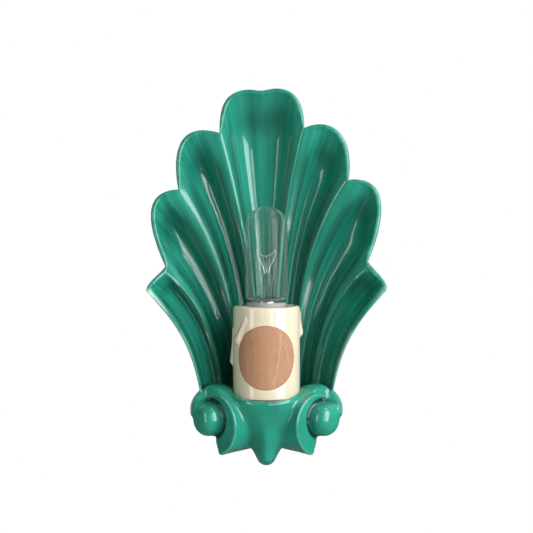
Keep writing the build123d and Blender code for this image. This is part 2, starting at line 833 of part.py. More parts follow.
screw_foot = wire_radius + post_fit
with BuildPart() as block_screws:
    with BuildSketch(Plane(block_middle + Vector(0, 0, screw_foot))):
        with GridLocations(block_pitch, block_screw_spacing, 2, 2):
            Circle(block_screw_radius)
    extrude(amount=block_body_height / 2 - screw_foot - block_tube_inset)
    with BuildSketch(block_top.offset(-block_tube_inset)):
        with GridLocations(block_pitch, block_screw_spacing, 2, 2):
            Rectangle(2 * block_screw_radius, screw_slot / 2)
    extrude(amount=-block_tube_inset, mode=Mode.SUBTRACT)
keep(block_screws, "block_screws")

for name, side in (("live_wire", -1), ("neutral_wire", 1)):
    route = [
        on_lamp(side * post_offset, insert_bottom + wire_in_post),
        on_lamp(side * post_offset, insert_bottom - 2),
        on_lamp(side * wire_offset, nipple_top + 2.5),
        on_lamp(side * wire_offset, wire_run),
        Vector(side * block_pitch / 2, block_front - wire_in_block, ledge_z + wire_run),
        Vector(side * block_pitch / 2, block_front + wire_in_block, ledge_z + wire_run),
    ]
    bends = []
    for before, corner, after in zip(route, route[1:], route[2:]):
        half_turn = radians((corner - before).get_angle(after - corner)) / 2
        shorter = min((corner - before).length, (after - corner).length)
        bends.append(0.45 * shorter / tan(half_turn))
    bends[2] = wire_bend
    print(name, "bend radii", [round(bend, 1) for bend in bends])
    lead = wire(route, wire_radius, bends)
    keep(lead, name)
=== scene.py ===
# %% [markdown]
# # A shell wall sconce in green glaze
# This lesson dresses a small ceramic wall light: a fluted shell over two scrolls, a cream
# candle sleeve with a round paper sticker, and a clear tubular lamp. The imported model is
# loaded first and never moved, because it says where each piece is and how it moves.

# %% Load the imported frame
from math import atan2, cos, degrees, exp, pi, radians, sin, sqrt

import bmesh
import bpy
from mathutils import Matrix, Vector, kdtree, noise


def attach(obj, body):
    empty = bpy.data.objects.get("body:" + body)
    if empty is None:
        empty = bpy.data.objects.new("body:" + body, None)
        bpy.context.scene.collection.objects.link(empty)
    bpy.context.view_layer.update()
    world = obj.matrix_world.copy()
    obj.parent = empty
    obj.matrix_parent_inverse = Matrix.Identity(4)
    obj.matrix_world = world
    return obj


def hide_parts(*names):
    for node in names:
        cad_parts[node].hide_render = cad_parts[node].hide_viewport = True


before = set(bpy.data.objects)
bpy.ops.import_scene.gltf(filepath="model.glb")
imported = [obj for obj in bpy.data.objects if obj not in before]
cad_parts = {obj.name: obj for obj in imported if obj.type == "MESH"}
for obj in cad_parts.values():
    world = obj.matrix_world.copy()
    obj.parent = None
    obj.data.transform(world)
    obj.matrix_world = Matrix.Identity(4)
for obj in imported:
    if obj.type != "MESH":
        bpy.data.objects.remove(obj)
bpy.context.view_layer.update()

MM = 0.001
LEDGE = -128.0  # height of the ledge under the candle, in millimetres from the hanging hole
AXIS = Vector((0, -54, LEDGE))  # where the candle's axis meets that ledge

# %% [markdown]
# ## Camera, lamps and backdrop
# The photograph was taken from about half a metre, level and a little above the candle.
# A long lens at that distance gives the same perspective. A large soft light on the right
# draws the bright streaks down the flutes, and a weaker one on the left keeps the dark
# sides readable. The floor and the backdrop are white to the camera and through glass. To
# the lamps they are plain pale paper, and the glaze mirrors a grey backdrop and a dark
# floor, so they don't wash out its deep green.

# %% Camera
scene = bpy.context.scene
scene.view_settings.view_transform = "Standard"
CAMERA_DISTANCE = 0.5  # metres from the candle's axis
CAMERA_SIDE = 0.006
CAMERA_HEIGHT = -0.050
LENS = 56.6
PICTURE_SHIFT = -0.0189  # a shift and not a turn, so that upright edges stay upright
camera_data = bpy.data.cameras.new("camera")
camera_data.lens = LENS
camera_data.shift_x = PICTURE_SHIFT
camera = bpy.data.objects.new("camera", camera_data)
camera.location = (CAMERA_SIDE, AXIS.y * MM - CAMERA_DISTANCE, CAMERA_HEIGHT)
camera.rotation_euler = (pi / 2, 0, 0)
scene.collection.objects.link(camera)
scene.camera = camera
print("camera", tuple(round(v, 3) for v in camera.location))


# %% Shader maths
class Value:
    """A number that changes over the surface: an output socket with the usual operators."""

    def __init__(self, material, socket):
        self.material = material
        self.socket = socket

    def maths(self, operation, *others):
        return self.material.node("ShaderNodeMath", {"operation": operation}, self, *others)

    def __add__(self, other):
        return self.maths("ADD", other)

    def __sub__(self, other):
        return self.maths("SUBTRACT", other)

    def __mul__(self, other):
        return self.maths("MULTIPLY", other)

    def __rsub__(self, other):
        return self.material.node("ShaderNodeMath", {"operation": "SUBTRACT"}, other, self)

    __radd__ = __add__
    __rmul__ = __mul__

    def clamp(self):
        return self.maths("MAXIMUM", 0.0).maths("MINIMUM", 1.0)

    def above(self, level, steepness):
        """0 up to a level, then rising to 1."""
        return ((self - level) * steepness).clamp()


class Finish:
    """A material that is being written: every node is added by one method."""

    def __init__(self, name):
        self.data = bpy.data.materials.new(name)
        self.data.use_nodes = True
        self.tree = self.data.node_tree
        self.shader = self.tree.nodes["Principled BSDF"]
        self.surface = self.tree.nodes["Material Output"]

    def plug(self, socket, value):
        """Links a changing value to a socket or writes a plain one; None leaves it alone."""
        if isinstance(value, Value):
            self.tree.links.new(value.socket, socket)
        elif value is not None:
            socket.default_value = value

    def node(self, kind, settings, *inputs, out=0, **named):
        """Adds a node: its settings first, then its sockets by place or by name."""
        node = self.tree.nodes.new(kind)
        for name, value in settings.items():
            setattr(node, name, value)
        for socket, value in zip(node.inputs, inputs):
            self.plug(socket, value)
        for name, value in named.items():
            self.plug(node.inputs[name.replace("_", " ")], value)
        return Value(self, node.outputs[out])

    def set(self, **sockets):
        for name, value in sockets.items():
            self.plug(self.shader.inputs[name.replace("_", " ")], value)

    def place(self, stretch=(1, 1, 1)):
        """Object coordinates, stretched for a pattern."""
        spot = self.node("ShaderNodeTexCoord", {}, out=3)
        return self.node("ShaderNodeMapping", {}, spot, Scale=stretch)

    def noise(self, spot, scale, detail, roughness=0.5):
        sockets = {"Vector": spot, "Scale": scale, "Detail": detail, "Roughness": roughness}
        return self.node("ShaderNodeTexNoise", {}, **sockets)

    def mix(self, factor, first, second):
        """Mixes two colours, each a socket or three numbers."""
        first, second = [c if isinstance(c, Value) else (*c, 1) for c in (first, second)]
        unused = [None] * 5  # the node's sockets for plain numbers and vectors
        return self.node("ShaderNodeMix", {"data_type": "RGBA"}, factor, *unused, first, second, out=2)

    def blend(self, factor, other):
        """Shows another shader instead of the main one, as far as the factor says."""
        own = Value(self, self.shader.outputs[0])
        self.plug(self.surface.inputs[0], self.node("ShaderNodeMixShader", {}, factor, own, other))

    def bump(self, height, strength, distance):
        return self.node("ShaderNodeBump", {}, Strength=strength, Distance=distance, Height=height)

    def attribute(self, name):
        return self.node("ShaderNodeAttribute", {"attribute_name": name}, out=2)


def paint(piece, finish):
    """Gives a piece one finish in place of what it has."""
    piece.data.materials.clear()
    piece.data.materials.append(finish.data)


def wear(piece, finish, body, node):
    """Paints a new piece, lets it ride on its body and hides the imported part it stands for."""
    paint(piece, finish)
    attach(piece, body)
    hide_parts(node)
    print(piece.name, len(piece.data.polygons), "faces")


# %% Floor and backdrop
MIRRORED_FLOOR = 0.10  # how bright the glaze sees the floor
MIRRORED_BACKDROP = 0.5


def white_to_camera(name, colour, mirrored):
    """Pale paper to the lamps, white to the camera and through glass, greyer in reflections."""
    finish = Finish(name)
    grain = finish.noise(finish.place(), 60, 4)
    paper = finish.mix(grain * 0.1, colour, [0.94 * c for c in colour])
    finish.set(Base_Color=paper, Roughness=0.9)
    from_camera = finish.node("ShaderNodeLightPath", {})
    rays = finish.tree.nodes[-1].outputs
    glossy = Value(finish, rays["Is Glossy Ray"])
    seen = from_camera + glossy + Value(finish, rays["Is Transmission Ray"])
    white = finish.mix(glossy, (1, 1, 1), (mirrored, mirrored, mirrored))
    glow = finish.node("ShaderNodeEmission", {}, Color=white, Strength=1.0)
    finish.blend(seen.clamp(), glow)
    return finish


def sheet(name, place, turn):
    """A square of paper, four metres wide and kept out of the object."""
    bpy.ops.object.select_all(action="DESELECT")
    bpy.ops.mesh.primitive_plane_add(size=4, location=place, rotation=turn)
    paper = bpy.context.object
    paper.name = name
    bpy.ops.object.transform_apply(location=True, rotation=True)
    return paper


floor = sheet("floor", (0, 0, -0.40), (0, 0, 0))
paint(floor, white_to_camera("floor_paper", (0.85, 0.85, 0.84), MIRRORED_FLOOR))
backdrop = sheet("backdrop", (0, 0.9, 0.6), (pi / 2, 0, 0))
paint(backdrop, white_to_camera("backdrop_paper", (0.85, 0.85, 0.85), MIRRORED_BACKDROP))
print("paper", floor.name, backdrop.name)


# %% Lamps and world
def softbox(name, place, aim, size, power, colour=(1, 1, 1)):
    """A rectangular soft light that faces a point."""
    data = bpy.data.lights.new(name, "AREA")
    data.shape = "RECTANGLE"
    data.size, data.size_y = size
    data.energy = power
    data.color = colour
    lamp = bpy.data.objects.new(name, data)
    lamp.location = place
    lamp.rotation_euler = (Vector(aim) - Vector(place)).to_track_quat("-Z", "Y").to_euler()
    scene.collection.objects.link(lamp)


MIDDLE = (0, -0.05, -0.05)
softbox("window", (0.48, -0.46, 0.14), MIDDLE, (0.42, 0.80), 6.5)
softbox("door", (0.24, -0.80, 0.10), MIDDLE, (0.13, 0.6), 1.1)
softbox("sky", (0.30, -0.10, 0.75), MIDDLE, (0.4, 0.3), 1.0)
softbox("room", (-0.60, -0.55, 0.05), MIDDLE, (0.18, 0.7), 1.5, (1.0, 0.96, 0.88))
WORLD_COLOUR = (0.75, 0.80, 0.80, 1)
WORLD_STRENGTH = 0.10
world = bpy.data.worlds.new("world")
world.use_nodes = True
world_nodes, world_links = world.node_tree.nodes, world.node_tree.links
dim = world_nodes["Background"]
dim.inputs[0].default_value = WORLD_COLOUR
dim.inputs[1].default_value = WORLD_STRENGTH
light_path = world_nodes.new("ShaderNodeLightPath")
bright = world_nodes.new("ShaderNodeBackground")
bright.inputs[0].default_value = (1, 1, 1, 1)
either = world_nodes.new("ShaderNodeMixShader")
world_links.new(light_path.outputs["Is Camera Ray"], either.inputs[0])
world_links.new(dim.outputs[0], either.inputs[1])
world_links.new(bright.outputs[0], either.inputs[2])
world_links.new(either.outputs[0], world_nodes["World Output"].inputs[0])
scene.world = world
print("lamps", [lamp.name for lamp in bpy.data.lights])

# %% [markdown]
# ## Modelling helpers
# A glazed shell is a free form, so its points come from a formula instead of from hand
# edits. Each such skin starts as a plain grid, and every point of the grid is moved to its
# place. Where edges of the grid meet, as at a seam or a pole, the doubled points are
# merged, which closes the skin there. Turned pieces are spun from a profile.


# %% Grids and spun profiles
def only(piece):
    """Selects one piece and nothing else."""
    bpy.ops.object.select_all(action="DESELECT")
    piece.select_set(True)
    bpy.context.view_layer.objects.active = piece


def joined(first, others):
    """Adds other pieces to the first one, as loose parts of its mesh."""
    only(first)
    for other in others:
        other.select_set(True)
    bpy.ops.object.join()


def start_edit(piece, action="SELECT"):
    """Opens one piece in edit mode, with all or nothing of its skin selected."""
    only(piece)
    bpy.ops.object.mode_set(mode="EDIT")
    bpy.ops.mesh.select_all(action=action)


def tidy(piece):
    """Merges doubled points and turns all faces outwards."""
    start_edit(piece)
    bpy.ops.mesh.remove_doubles(threshold=1e-6)
    bpy.ops.mesh.normals_make_consistent(inside=False)
    bpy.ops.object.mode_set(mode="OBJECT")
    bpy.ops.object.shade_smooth()


def mapped_grid(name, columns, rows, place, side=1):
    """A grid whose point (column, row) is moved to place(column, row), given in millimetres.

    With side -1 the form is mirrored to the left.
    """
    bpy.ops.object.select_all(action="DESELECT")
    bpy.ops.mesh.primitive_grid_add(x_subdivisions=columns, y_subdivisions=rows, size=2)
    piece = bpy.context.object
    piece.name = name
    for point in piece.data.vertices:
        column = round((point.co.x + 1) / 2 * columns)
        row = round((point.co.y + 1) / 2 * rows)
        spot = place(column, row)
        point.co = Vector((side * spot.x, spot.y, spot.z)) * MM
    tidy(piece)
    return piece


def spun(name, profile, steps=64, centre=AXIS, turn=None):
    """A profile of (radius, height) points in millimetres, spun round an upright axis.

    With turn, a matrix, the finished form is turned about its centre.
    """
    bpy.ops.object.select_all(action="DESELECT")
    bpy.ops.mesh.primitive_plane_add(size=1)
    piece = bpy.context.object
    piece.name = name
    bpy.ops.object.mode_set(mode="EDIT")
    bpy.ops.mesh.merge(type="CENTER")
    last = Vector()
    for step, (radius, height) in enumerate(profile):
        spot = Vector((radius, 0, height)) * MM
        if step == 0:
            bpy.ops.transform.translate(value=spot)
        else:
            bpy.ops.mesh.extrude_region_move(TRANSFORM_OT_translate={"value": spot - last})
        last = spot
    bpy.ops.mesh.select_all(action="SELECT")
    bpy.ops.mesh.spin(steps=steps, angle=2 * pi, center=(0, 0, 0), axis=(0, 0, 1))
    bpy.ops.object.mode_set(mode="OBJECT")
    tidy(piece)
    if turn:
        piece.data.transform(turn)
    piece.data.transform(Matrix.Translation(centre * MM))
    return piece


def ease(value, low, high):
    """Runs smoothly from 0 at low to 1 at high."""
    share = max(0, min(1, (value - low) / (high - low)))
    return share * share * (3 - 2 * share)


def plateau(value, first, last):
    """Rises from 0 to 1 over the first pair of values and falls back over the last pair."""
    return ease(value, *first) * (1 - ease(value, *last))


def bell(value, middle, width):
    """Is 1 at the middle and nearly 0 at twice the width from it."""
    return exp(-(((value - middle) / width) ** 2))


def finish_modifier(piece, kind, **settings):
    """Adds a modifier with its settings and applies it."""
    only(piece)
    modifier = piece.modifiers.new(kind.lower(), kind)
    for name, value in settings.items():
        setattr(modifier, name, value)
    bpy.ops.object.modifier_apply(modifier=modifier.name)


def weld(piece, other, operation="UNION"):
    """Joins another piece into this one, or cuts it out, and deletes the other."""
    finish_modifier(piece, "BOOLEAN", operation=operation, solver="EXACT", object=other)
    bpy.data.objects.remove(other)


# %% [markdown]
# ## Shell
# Seven concave flutes rise from a narrow foot and spread to a scalloped rim. Ribs between
# them are soft rolls, and each flute curls forward into a rounded lip. Wheel-thrown or
# slab work would be far more regular, so the outline of each lobe is its own curve and a
# slow wobble is added, as in a shell that was pressed into a mould and finished by hand.

# %% Shell outline and profile
RIM_CORNERS = [(-70.5, 64), (-61, 78), (-54, 125), (-29, 160), (23, 163), (50, 131), (61, 81), (71, 65)]
RIM_LEAVING = [(-0.5, 5), (-7, 15), (-5.5, 30), (-1, 35), (18, 8), (29.5, 3), (3, -5)]
RIM_ARRIVING = [(-3, -5), (-27, -1), (-20.5, 6), (0.5, 34), (4, 26), (8, 17), (0.5, 5)]
LOBES = len(RIM_LEAVING)
FOOT_WIDTH = 76.0
RIM_SPREAD = radians(44)
FLUTE_RATIO = 0.29
FLUTE_POWER = 2.0
TOP_SQUARE = 2.1  # how far the top lobe's shoulders stand out
TOP_DIP = 1.5  # dip in the middle of its edge
VALLEY = 0.8  # depth of the furrow on each side of a rib
RIB = 0.78  # a rib is the part of each flute beyond this share of its half width
RIB_HEIGHT = 1.0
RIM_FLUTE_WIDTH = 48.0
LIP = 3.2
LIP_START = radians(44)  # the flute meets the rim's roll at this angle, without a crease
RIB_TURN = 0.75
CUP_START = 0.8
WALL = 6.0
CREST_MIDDLE = 26  # how far in front of the wall the middle of the shell starts
CREST_BEND = 14  # how much further forward it is at the rim
CREST_SIDE = 58  # the same for the outer edges
CREST_FLARE = 4


def lean(u):
    """Angle from upright at which a flute line reaches the rim; u runs from -1 to 1."""
    return RIM_SPREAD * (1 - (1 - abs(u)) ** 2.5) * (1 if u > 0 else -1)


def rim(lobe, v):
    """Front view of a lobe's edge: the point at v (-1 to 1) and the direction outwards."""
    s = (v + 1) / 2
    start, end = Vector(RIM_CORNERS[lobe]), Vector(RIM_CORNERS[lobe + 1])
    first, second = start + Vector(RIM_LEAVING[lobe]), end + Vector(RIM_ARRIVING[lobe])
    point = start * (1 - s) ** 3 + first * (3 * s * (1 - s) ** 2) + second * (3 * s * s * (1 - s))
    point += end * s**3
    if lobe == LOBES // 2:
        shoulder = TOP_SQUARE * sin(2 * pi * s) ** 2
        point += Vector((-shoulder if s < 0.5 else 0.6 * shoulder, shoulder))
        point.y -= TOP_DIP * bell(point.x, -3, 6)
    run = (first - start) * (1 - s) ** 2 + (second - first) * (2 * s * (1 - s)) + (end - second) * s**2
    heading = atan2(run.x, -run.y)
    if abs(v) > RIB_TURN:
        share = (abs(v) - RIB_TURN) / (1 - RIB_TURN)
        u = -1 + (2 * lobe + 1 + v) / LOBES
        swing = (pi / 2 - lean(u) - heading + pi) % (2 * pi) - pi
        heading += swing * share
    return point, Vector((cos(heading), sin(heading)))


def crest(u, t):
    """How far in front of the wall the ribs lie; t runs from the foot (0) to the rim (1)."""
    middle = CREST_MIDDLE + CREST_BEND * max(0, (t - 0.45) / 0.55) ** 2
    side = CREST_SIDE + CREST_FLARE * t
    return middle + (side - middle) * abs(u) ** 2.4


def surface(lobe, v, t, inset, behind, ahead=0):
    """A point of the fluted skin, ending `inset` inside the rim.

    It lies `behind` the front face, and ends `ahead` of the rim's plane.
    """
    u = -1 + (2 * lobe + 1 + v) / LOBES
    edge, out = rim(lobe, v)
    end = edge - out * inset
    foot = Vector((FOOT_WIDTH / 2 * u, -3))
    reach = (end - foot).length
    first = foot + Vector((0.05 * u, 0.42)) * reach
    second = end - Vector((sin(lean(u)), cos(lean(u)))) * (0.36 * reach)
    s = 1 - t
    place = foot * s**3 + first * (3 * s * s * t) + second * (3 * s * t * t) + end * t**3
    width = FOOT_WIDTH / LOBES * s + RIM_FLUTE_WIDTH * t
    inner = min(1, abs(v) / RIB)
    hollow = 0.5 * (1 + cos(pi * inner**FLUTE_POWER)) * FLUTE_RATIO * width
    if abs(u) < 1 - 1 / LOBES:
        strength = sin(pi * min(1, 0.12 + 0.9 * t)) ** 0.6
        hollow += VALLEY * bell(abs(v), RIB, 0.09) * strength
        hollow -= RIB_HEIGHT * (1 - ((1 - max(RIB, abs(v))) / (1 - RIB)) ** 2) * strength
    late = max(0, (t - CUP_START) / (1 - CUP_START))
    depth = hollow * (1 - late**2.4) + behind * (1 - late**3) - ahead * late**2.4
    wobble = 0.5 * noise.noise(Vector((place.x, place.y, 0)) / 28) * sin(pi * t)
    return Vector((place.x, depth - crest(u, t) + wobble, LEDGE + place.y))


print("lobes", LOBES)

# %% Shell mesh
ACROSS = 32  # columns in each lobe
UP = 64  # rows from the foot to the rim
ROLL = 7  # rows over the rolled rim, on each side of its crest
SIDE = 6  # columns round each outer edge


def lobe_at(column):
    """The lobe and the place across it, for a column of the front or the back."""
    lobe = min(column // ACROSS, LOBES - 1)
    return lobe, -1 + 2 * (column - lobe * ACROSS) / ACROSS


def rise(row):
    """Rows lie closer together where the flute curls up into its lip."""
    share = min(row, UP) / UP
    return share if share < 0.6 else 0.6 + 0.4 * sin(pi / 2 * (share - 0.6) / 0.4)


def skin(column, row, front):
    """A point of the front or back skin; the last rows go round the lip and meet."""
    lobe, v = lobe_at(column)
    if row <= UP:
        if front:
            return surface(lobe, v, rise(row), LIP / 2 * (1 + cos(LIP_START)), 0, LIP / 2 * sin(LIP_START))
        return surface(lobe, v, rise(row), 0.6, WALL)
    edge, out = rim(lobe, v)
    share = (row - UP) / ROLL
    crown = 0.62 * pi
    angle = LIP_START + (crown - LIP_START) * share if front else 1.12 * pi - 0.5 * pi * share
    place = edge - out * (LIP / 2 * (1 + cos(angle)))
    forward = -crest(-1 + (2 * lobe + 1 + v) / LOBES, 1)
    return Vector((place.x, forward - LIP / 2 * sin(angle), LEDGE + place.y))


def shell_point(column, row):
    """Goes once round the shell: front, one outer edge, back, the other outer edge."""
    whole = LOBES * ACROSS
    column = column % (2 * whole + 2 * SIDE)
    if column <= whole:
        return skin(column, row, True)
    if whole + SIDE <= column <= 2 * whole + SIDE:
        return skin(2 * whole + SIDE - column, row, False)
    right = column < whole + SIDE
    end = whole if right else 0
    step = column - whole if right else 2 * whole + 2 * SIDE - column
    face, rear = skin(end, row, True), skin(end, row, False)
    middle, half = (face + rear) / 2, (face - rear) / 2
    angle = pi * step / SIDE
    outward = Vector((1 if right else -1, 0, -0.4)).normalized()
    return middle + half * cos(angle) + outward * (0.3 * half.length * sin(angle))


shell = mapped_grid("shell", 2 * LOBES * ACROSS + 2 * SIDE, UP + ROLL, shell_point)
start_edit(shell, "DESELECT")
bpy.ops.mesh.select_non_manifold()
bpy.ops.mesh.fill()
bpy.ops.mesh.normals_make_consistent(inside=False)
bpy.ops.object.mode_set(mode="OBJECT")
grid_spots = []  # each with its place across and up the flutes and how dark it is painted: pooled glaze and painted shade
for lobe in range(LOBES):
    for step in range(ACROSS):
        v = -1 + 2 * (step + 0.5) / ACROSS
        for row in range(UP + 1):
            t = rise(row)
            spot = surface(lobe, v, t, LIP, 0) * MM
            # painted shade mixed with pooled glaze: darker in the furrow beside each rib, towards the middle
            # and foot of each flute, and just under the rim where the flute curls forward
            furrow = bell(abs(v) - RIB, -0.02, 0.12) + 0.5 * (1 - abs(v)) ** 0.5 * (1 - t)
            under_rim = 0.65 * bell(t, 0.93, 0.045) * (1 - ease(abs(v), 0.2, 0.75))
            pooling_and_shade = max(under_rim, min(1, furrow) * (1 - ease(t, 0.86, 1)))
            grid_spots.append((spot, (lobe + v / 2, t, pooling_and_shade)))
print("shell faces", len(shell.data.polygons), "spots", len(grid_spots))

# %% [markdown]
# ## Base
# Below the candle the clay is one soft saddle: two rolls flare outwards into discs, and a
# rib runs down between them to a pointed finial. Hard forms are laid into each other
# first, then remeshed and smoothed, which melts their joints as glaze and wet clay do.

# %% Apron, back and ledge
TURN = radians(43)
DISC = 18.5
DISC_CENTRE = Vector((31.0, -65.0, LEDGE - 14))  # of the right scroll; the left one mirrors it
ACROSS_DISC = Vector((cos(TURN), sin(TURN), 0))  # from the disc's centre to its outer side
OUT_OF_DISC = Vector((sin(TURN), -cos(TURN), 0))
ROUND_STEPS = 96  # points once round the apron, the collar, the sleeve, the sticker and the glass
RIDGE = 3.4  # height of the rib down the apron's middle
FURROW = 1.6  # depth of the hollow on each side of it
FINIAL_FORWARD = 9.0
BLOCK_DEPTH = 50  # from the wall forwards
BLOCK_TOP = (35, -3)  # half width, and height above the ledge
BLOCK_FOOT = (20, -29)
COLLAR = 22.8
COLLAR_CLIMB = 5.6  # how much higher the collar is at the candle's sides
# each line round the collar: its radius, and how far it lies below the collar's crest, or
# below the ledge for the first and last line
COLLAR_LINES = [(20.0, 6), (20.5, 0.3), (21.6, 0), (COLLAR - 0.1, 0.5), (COLLAR, 1.6), (COLLAR - 2.6, 9.5)]

apron = [
    (0, -38.5), (2.6, -38.1), (4.4, -36.7), (5.7, -34.6), (7.0, -32.2),
    (8.7, -29.6), (10.8, -26.6), (13.2, -22.8), (15.6, -18.8), (17.9, -14.4),
    (19.9, -10.2), (21.4, -6.2), (22.4, -2.0), (22.8, 0.2), (0, 0.2),
]
base = spun("base", apron, steps=ROUND_STEPS)
start_edit(base)
bpy.ops.mesh.subdivide(number_cuts=2, smoothness=0.6)
bpy.ops.object.mode_set(mode="OBJECT")
for point in base.data.vertices:
    below = LEDGE - point.co.z / MM
    side = abs(point.co.x / MM)
    ridge = RIDGE * bell(side, 0, 4.8) * ease(below, 7, 24)
    ridge -= FURROW * bell(side, 8.5, 3) * ease(below, 12, 24)
    front = ease(AXIS.y - point.co.y / MM, 0, 5)
    forward = FINIAL_FORWARD * ease(below, 10, 44) + ridge * front * (1 - ease(below, 33, 38))
    point.co.y -= forward * MM
bpy.ops.object.select_all(action="DESELECT")
bpy.ops.mesh.primitive_cube_add(size=1)
block = bpy.context.object
for point in block.data.vertices:
    half, height = BLOCK_FOOT if point.co.z < 0 else BLOCK_TOP
    point.co = Vector((half * 2 * point.co.x, BLOCK_DEPTH / 2 * (2 * point.co.y - 1), height)) * MM
    point.co.z += LEDGE * MM
start_edit(block)
bpy.ops.mesh.bevel(offset=2 * MM, segments=3)
bpy.ops.object.mode_set(mode="OBJECT")


def ledge_point(column, row):
    """A collar about the candle that climbs at its sides; its first and last lines are level."""
    angle = 2 * pi * column / ROUND_STEPS
    radius, drop = COLLAR_LINES[row]
    side = radius * sin(angle)
    height = -drop if row in (0, 5) else 0.3 + COLLAR_CLIMB * (side / COLLAR) ** 2 - drop
    return AXIS + Vector((side, -radius * cos(angle), height))


collar = mapped_grid("collar", ROUND_STEPS, len(COLLAR_LINES) - 1, ledge_point)
start_edit(collar, "DESELECT")
bpy.ops.mesh.select_non_manifold()
bpy.ops.mesh.bridge_edge_loops()
bpy.ops.mesh.select_all(action="SELECT")
bpy.ops.mesh.normals_make_consistent(inside=False)
bpy.ops.object.mode_set(mode="OBJECT")
print("apron, block and collar", [len(part.data.polygons) for part in (base, block, collar)])

# %% [markdown]
# ## Scrolls
# Each scroll is a spiral: a roll that starts thin at its outer side, grows over the top,
# ends in a raised edge at the bottom and leaves an opening under a domed knob. One closed
# grid goes from the top of the knob through the groove, over the band and the edge, and
# back along the roll. The outline and the groove depend on the angle round the knob.

# %% Scroll shape
KNOB = Vector((3.5, 2.6))  # knob from the disc's centre: outwards, up
KNOB_RADIUS = 9.9
KNOB_RISE = 7.8
WAIST = 16.6  # radius of the roll behind the disc
SAG = 1.8  # the roll is this much fuller below and flatter on top
OPEN_DEPTH = 12.0
FLANK = Vector((5.8, 5.2, -9.0))  # the flank's middle: outwards, up and behind the face
FLANK_RADIUS = 17.0
FLANK_LINES = (96, 48)  # columns and rows of its grid
PRESSED_IN = 10.5  # how deep the flank is pressed in where the opening shows it
SCROLL_COLUMNS = 160
KNOB_ROWS = 16  # up to this row the grid covers the knob,
BAND_ROWS = 28  # up to this one the groove and the band,
EDGE_ROWS = 34  # then the rounded edge,
ROLL_ROWS = 56  # then the roll, and one last row closes it
GAP = 0.6  # the least width left between the knob and the edge
EDGE_ROUND = 0.9
EDGE_DROP = 2.2  # how far the edge falls back where there is no groove
GROOVE_DEPTH = 5.5
GROOVE_AWAY = 1.2  # from the knob's side to the groove's middle
ROLL_LENGTH = 40
OPENING_END = 345  # degrees from straight outwards to the outer end of the opening
# and these are degrees from that end, counted over the top of the knob
OPENING = ((262, 268), (352, 359))
GROOVE_START = (50, 110)


def to_circle(angle, radius):
    """How far a circle about the disc's centre is from the knob's centre, in one direction."""
    along = -(KNOB.x * cos(angle) + KNOB.y * sin(angle))
    return along + sqrt(max(0, radius**2 - KNOB.length_squared + along**2))


def roll_radius(back, angle):
    """The roll's radius at a distance behind the disc's face, in one direction."""
    waist = WAIST - SAG * sin(angle)
    return waist + (DISC - waist) * (1 - ease(back, -4, 17)) ** 1.2


def since_opening(angle):
    """Degrees from the outer end of the opening to a direction round the knob."""
    return (degrees(angle) - OPENING_END) % 360


def on_disc(flat, lift):
    """A point given by its place on the disc's face and its height in front of it."""
    return DISC_CENTRE + ACROSS_DISC * flat.x + Vector((0, 0, flat.y)) + OUT_OF_DISC * lift


def from_disc(spot):
    """How far a point is from the disc's centre: outwards, up and behind the face."""
    beside = spot - DISC_CENTRE
    return beside.dot(ACROSS_DISC), beside.z, -beside.dot(OUT_OF_DISC)


def round_knob(angle, radius, lift):
    """A point given round the knob's centre on the disc's face, and in front of it."""
    return on_disc(KNOB + Vector((cos(angle), sin(angle))) * radius, lift)


def scroll_point(column, row):
    """A point of the right scroll; angles turn from the outer side over the top."""
    angle = 2 * pi * column / SCROLL_COLUMNS
    turned = since_opening(angle)
    opened = plateau(turned, *OPENING)
    groove = plateau(turned, GROOVE_START, (268, 274))
    growth = 0.12 + 0.88 * ease(turned, 0, 150)  # the band starts narrow and widens
    knob = KNOB_RADIUS - 0.5 * groove
    if row <= KNOB_ROWS:
        radius = knob * sin(pi / 2 * row / KNOB_ROWS)
        lift = KNOB_RISE * max(0, 1 - (radius / knob) ** 3.2) ** 0.52
        return round_knob(angle, radius, lift)
    full = to_circle(angle, DISC)
    edge = knob + GAP + (full - knob - GAP) * growth * (1 - opened)
    if row <= BAND_ROWS:
        share = (row - KNOB_ROWS) / (BAND_ROWS - KNOB_ROWS)
        radius = knob + (edge - EDGE_ROUND - knob) * share
        cut = bell(radius - knob, GROOVE_AWAY, 1.2) * GROOVE_DEPTH * groove
        band = -1.0 + 1.0 * ease(share, 0.6, 1.0)
        swell = 1.5 * (1 - share) - EDGE_DROP * share**2
        lift = band * groove + swell * (1 - groove) - cut
        if opened > 0.5:
            lift = -1.5 * share
        return round_knob(angle, radius, lift)
    if row <= EDGE_ROWS:
        turn = pi / 2 * ((row - BAND_ROWS) / (EDGE_ROWS - BAND_ROWS))
        start = -EDGE_DROP * (1 - groove) if opened <= 0.5 else -1.5
        return round_knob(angle, edge - EDGE_ROUND * (1 - sin(turn)), start - (1 - cos(turn)))
    if row > ROLL_ROWS:
        return round_knob(angle, 0, -(ROLL_LENGTH + 1.2))
    share = (row - EDGE_ROWS) / (ROLL_ROWS - EDGE_ROWS)
    back = 1.0 + EDGE_DROP * (1 - groove) + ROLL_LENGTH * share**1.25
    spread = growth + (1 - growth) * sin(pi / 2 * min(1, back / 13))
    spread *= 1 - opened * (1 - ease(back, OPEN_DEPTH, OPEN_DEPTH + 1.5))
    outer = to_circle(angle, roll_radius(back, angle))
    return round_knob(angle, knob + GAP + (outer - knob - GAP) * spread, -back)


